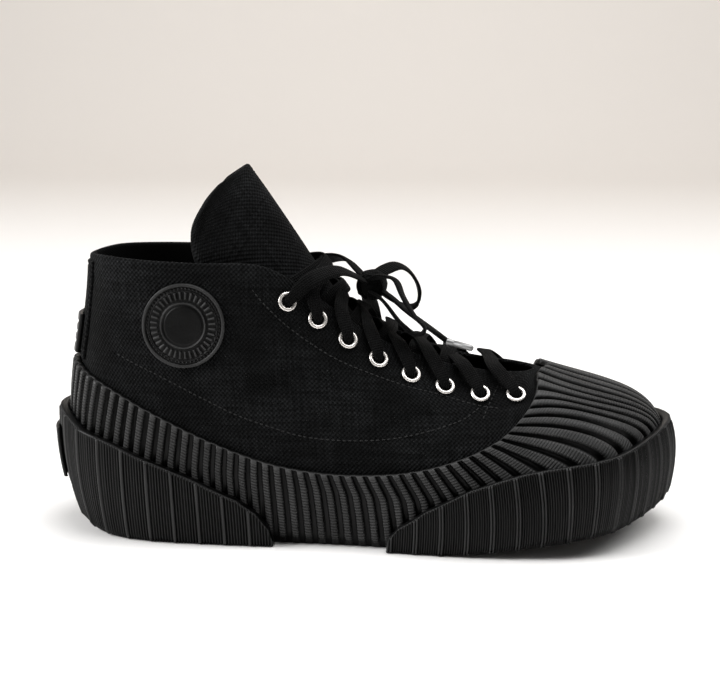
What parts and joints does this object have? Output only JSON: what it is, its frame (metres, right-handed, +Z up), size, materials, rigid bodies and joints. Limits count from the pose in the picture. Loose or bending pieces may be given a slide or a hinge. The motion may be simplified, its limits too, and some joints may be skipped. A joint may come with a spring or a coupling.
{
  "type": "mid-top sneaker",
  "caption": "Ankle-height canvas lace-up sneaker for a right foot, with a ribbed rubber guard that forms the toe cap and thick lined rubber strips round heel and toe.",
  "frame": {"origin": "middle of the shoe's overall box, on the ground", "axes": "+X to the toe, +Y to the inner (medial) side, +Z up"},
  "size_m": [0.3107, 0.1135, 0.1805],
  "materials": {
    "canvas": "black plain-weave cotton canvas",
    "rubber": "matt black moulded rubber",
    "lining": "black textile",
    "cotton": "black flat woven lace",
    "nickel": "pale satin"
  },
  "bodies": {
    "root": {"aglet_inner": "nickel", "aglet_outer": "nickel", "ankle_badge": "rubber", "eyelet_inner_1": "nickel", "eyelet_inner_2": "nickel", "eyelet_inner_3": "nickel", "eyelet_inner_4": "nickel", "eyelet_inner_5": "nickel", "eyelet_inner_6": "nickel", "eyelet_inner_7": "nickel", "eyelet_inner_8": "nickel", "eyelet_outer_1": "nickel", "eyelet_outer_2": "nickel", "eyelet_outer_3": "nickel", "eyelet_outer_4": "nickel", "eyelet_outer_5": "nickel", "eyelet_outer_6": "nickel", "eyelet_outer_7": "nickel", "eyelet_outer_8": "nickel", "heel_label": "rubber", "heel_plate": "rubber", "heel_strip": "canvas", "heel_wrap": "rubber", "insole": "lining", "lace_bar": "cotton", "lace_cross_1": "cotton", "lace_cross_2": "cotton", "lace_cross_3": "cotton", "lace_cross_4": "cotton", "lace_cross_5": "cotton", "lace_cross_6": "cotton", "lace_end_inner": "cotton", "lace_end_outer": "cotton", "lace_knot": "cotton", "lace_loop_inner": "cotton", "lace_loop_outer": "cotton", "lace_strand_inner": "cotton", "lace_strand_outer": "cotton", "outsole": "rubber", "rib_guard": "rubber", "toe_wrap": "rubber", "tongue": "canvas", "upper": "canvas"}
  },
  "joints": []
}
